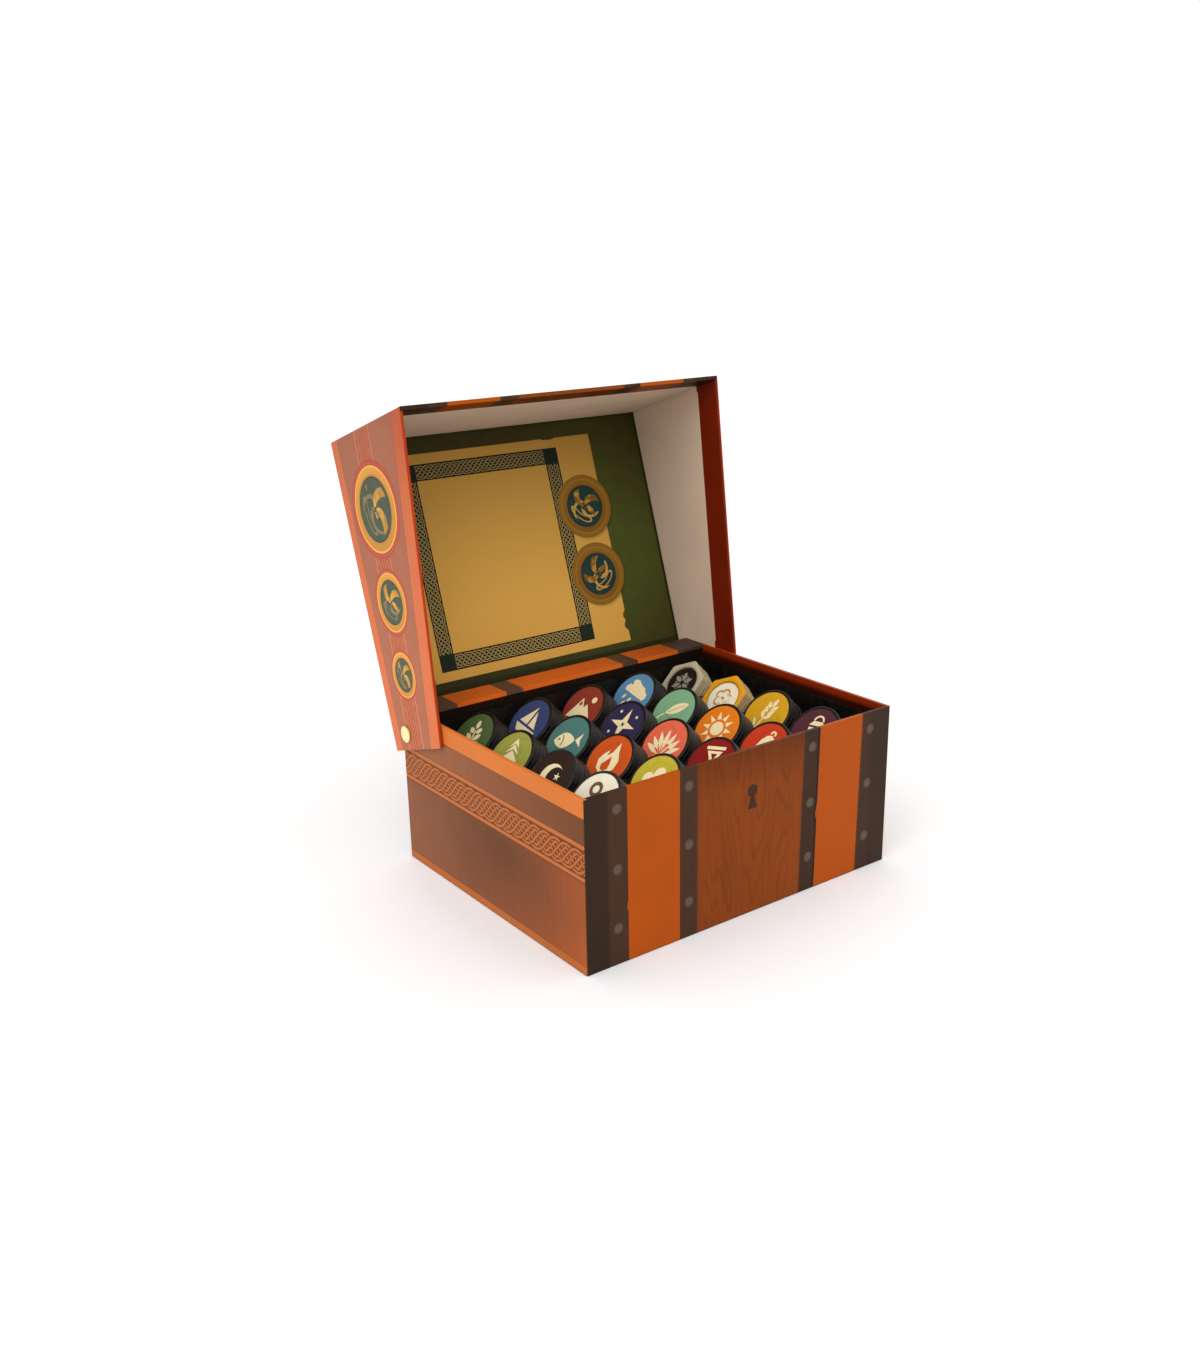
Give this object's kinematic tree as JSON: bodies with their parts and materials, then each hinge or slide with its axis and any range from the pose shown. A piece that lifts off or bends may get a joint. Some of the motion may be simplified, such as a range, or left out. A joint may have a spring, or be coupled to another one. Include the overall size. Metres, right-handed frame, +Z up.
{
  "type": "board game storage box",
  "caption": "Hinged card storage box with a wrap-over lid on two rivets and a lift-out moulded tray of leaning round and six-sided token stacks.",
  "frame": {"origin": "middle of the flat underside of the base", "axes": "+X to the right seen from the front, +Y from the front to the hinge at the back, +Z up"},
  "size_m": [0.219, 0.2336, 0.2618],
  "materials": {
    "printed_board": "laminated paper print, satin",
    "ledge_board": "laminated paper print, satin",
    "lid_board": "laminated paper print, satin",
    "lid_card": "printed card, satin",
    "lining_paper": "plain paper, matt",
    "rivet_metal": "aged, satin",
    "tray_plastic": "moulded sheet, satin",
    "token_dark_green": "black token with a printed face, satin",
    "token_blue": "black token with a printed face, satin",
    "token_maroon": "black token with a printed face, satin",
    "token_light_blue": "black token with a printed face, satin",
    "grey_tile": "printed card tiles, satin",
    "grey_disc": "printed disc, satin",
    "token_lime": "black token with a printed face, satin",
    "token_teal": "black token with a printed face, satin",
    "token_navy": "black token with a printed face, satin",
    "token_mint": "black token with a printed face, satin",
    "gold_tile": "printed card tiles, satin",
    "white_disc": "printed disc, satin",
    "token_black": "black token with a printed face, satin",
    "token_red_orange": "black token with a printed face, satin",
    "token_coral": "black token with a printed face, satin",
    "token_orange": "black token with a printed face, satin",
    "token_ochre": "black token with a printed face, satin",
    "token_cream": "black token with a printed face, satin",
    "token_yellow_green": "black token with a printed face, satin",
    "token_crimson": "black token with a printed face, satin",
    "token_red": "black token with a printed face, satin",
    "token_purple": "black token with a printed face, satin"
  },
  "bodies": {
    "base": {"base_shell": "printed_board", "rear_ledge": "ledge_board", "hinge_rivet_left": "rivet_metal", "hinge_rivet_right": "rivet_metal"},
    "lid": {"lid_shell": "lid_board", "lid_card": "lid_card", "lid_lining_front": "lining_paper", "lid_lining_left": "lining_paper", "lid_lining_right": "lining_paper"},
    "tray": {"token_tray": "tray_plastic"},
    "stack_dark_green": {"stack_dark_green": "token_dark_green"},
    "stack_blue": {"stack_blue": "token_blue"},
    "stack_maroon": {"stack_maroon": "token_maroon"},
    "stack_light_blue": {"stack_light_blue": "token_light_blue"},
    "hex_grey_stack": {"hex_grey_tiles": "grey_tile", "hex_grey_disc": "grey_disc"},
    "stack_lime": {"stack_lime": "token_lime"},
    "stack_teal": {"stack_teal": "token_teal"},
    "stack_navy": {"stack_navy": "token_navy"},
    "stack_mint": {"stack_mint": "token_mint"},
    "hex_gold_stack": {"hex_gold_tiles": "gold_tile", "hex_gold_disc": "white_disc"},
    "stack_black": {"stack_black": "token_black"},
    "stack_red_orange": {"stack_red_orange": "token_red_orange"},
    "stack_coral": {"stack_coral": "token_coral"},
    "stack_orange": {"stack_orange": "token_orange"},
    "stack_ochre": {"stack_ochre": "token_ochre"},
    "stack_cream": {"stack_cream": "token_cream"},
    "stack_yellow_green": {"stack_yellow_green": "token_yellow_green"},
    "stack_crimson": {"stack_crimson": "token_crimson"},
    "stack_red": {"stack_red": "token_red"},
    "stack_purple": {"stack_purple": "token_purple"}
  },
  "joints": [
    {"name": "lid_hinge", "type": "hinge", "parent": "base", "child": "lid", "pos_m": [0, 0.07825, 0.079], "axis": [-1, 0, 0], "range_deg": [-108, 0]},
    {"name": "tray_lift", "type": "slide", "parent": "base", "child": "tray", "axis": [0, 0, 1], "range_m": [0, 0.095]},
    {"name": "dark_green_lift", "type": "slide", "parent": "tray", "child": "stack_dark_green", "axis": [0, 0, 1], "range_m": [0, 0.04]},
    {"name": "blue_lift", "type": "slide", "parent": "tray", "child": "stack_blue", "axis": [0, 0, 1], "range_m": [0, 0.04]},
    {"name": "maroon_lift", "type": "slide", "parent": "tray", "child": "stack_maroon", "axis": [0, 0, 1], "range_m": [0, 0.04]},
    {"name": "light_blue_lift", "type": "slide", "parent": "tray", "child": "stack_light_blue", "axis": [0, 0, 1], "range_m": [0, 0.04]},
    {"name": "hex_grey_lift", "type": "slide", "parent": "tray", "child": "hex_grey_stack", "axis": [0, 0, 1], "range_m": [0, 0.04]},
    {"name": "lime_lift", "type": "slide", "parent": "tray", "child": "stack_lime", "axis": [0, 0, 1], "range_m": [0, 0.04]},
    {"name": "teal_lift", "type": "slide", "parent": "tray", "child": "stack_teal", "axis": [0, 0, 1], "range_m": [0, 0.04]},
    {"name": "navy_lift", "type": "slide", "parent": "tray", "child": "stack_navy", "axis": [0, 0, 1], "range_m": [0, 0.04]},
    {"name": "mint_lift", "type": "slide", "parent": "tray", "child": "stack_mint", "axis": [0, 0, 1], "range_m": [0, 0.04]},
    {"name": "hex_gold_lift", "type": "slide", "parent": "tray", "child": "hex_gold_stack", "axis": [0, 0, 1], "range_m": [0, 0.04]},
    {"name": "black_lift", "type": "slide", "parent": "tray", "child": "stack_black", "axis": [0, 0, 1], "range_m": [0, 0.04]},
    {"name": "red_orange_lift", "type": "slide", "parent": "tray", "child": "stack_red_orange", "axis": [0, 0, 1], "range_m": [0, 0.04]},
    {"name": "coral_lift", "type": "slide", "parent": "tray", "child": "stack_coral", "axis": [0, 0, 1], "range_m": [0, 0.04]},
    {"name": "orange_lift", "type": "slide", "parent": "tray", "child": "stack_orange", "axis": [0, 0, 1], "range_m": [0, 0.04]},
    {"name": "ochre_lift", "type": "slide", "parent": "tray", "child": "stack_ochre", "axis": [0, 0, 1], "range_m": [0, 0.04]},
    {"name": "cream_lift", "type": "slide", "parent": "tray", "child": "stack_cream", "axis": [0, 0, 1], "range_m": [0, 0.04]},
    {"name": "yellow_green_lift", "type": "slide", "parent": "tray", "child": "stack_yellow_green", "axis": [0, 0, 1], "range_m": [0, 0.04]},
    {"name": "crimson_lift", "type": "slide", "parent": "tray", "child": "stack_crimson", "axis": [0, 0, 1], "range_m": [0, 0.04]},
    {"name": "red_lift", "type": "slide", "parent": "tray", "child": "stack_red", "axis": [0, 0, 1], "range_m": [0, 0.04]},
    {"name": "purple_lift", "type": "slide", "parent": "tray", "child": "stack_purple", "axis": [0, 0, 1], "range_m": [0, 0.04]}
  ]
}
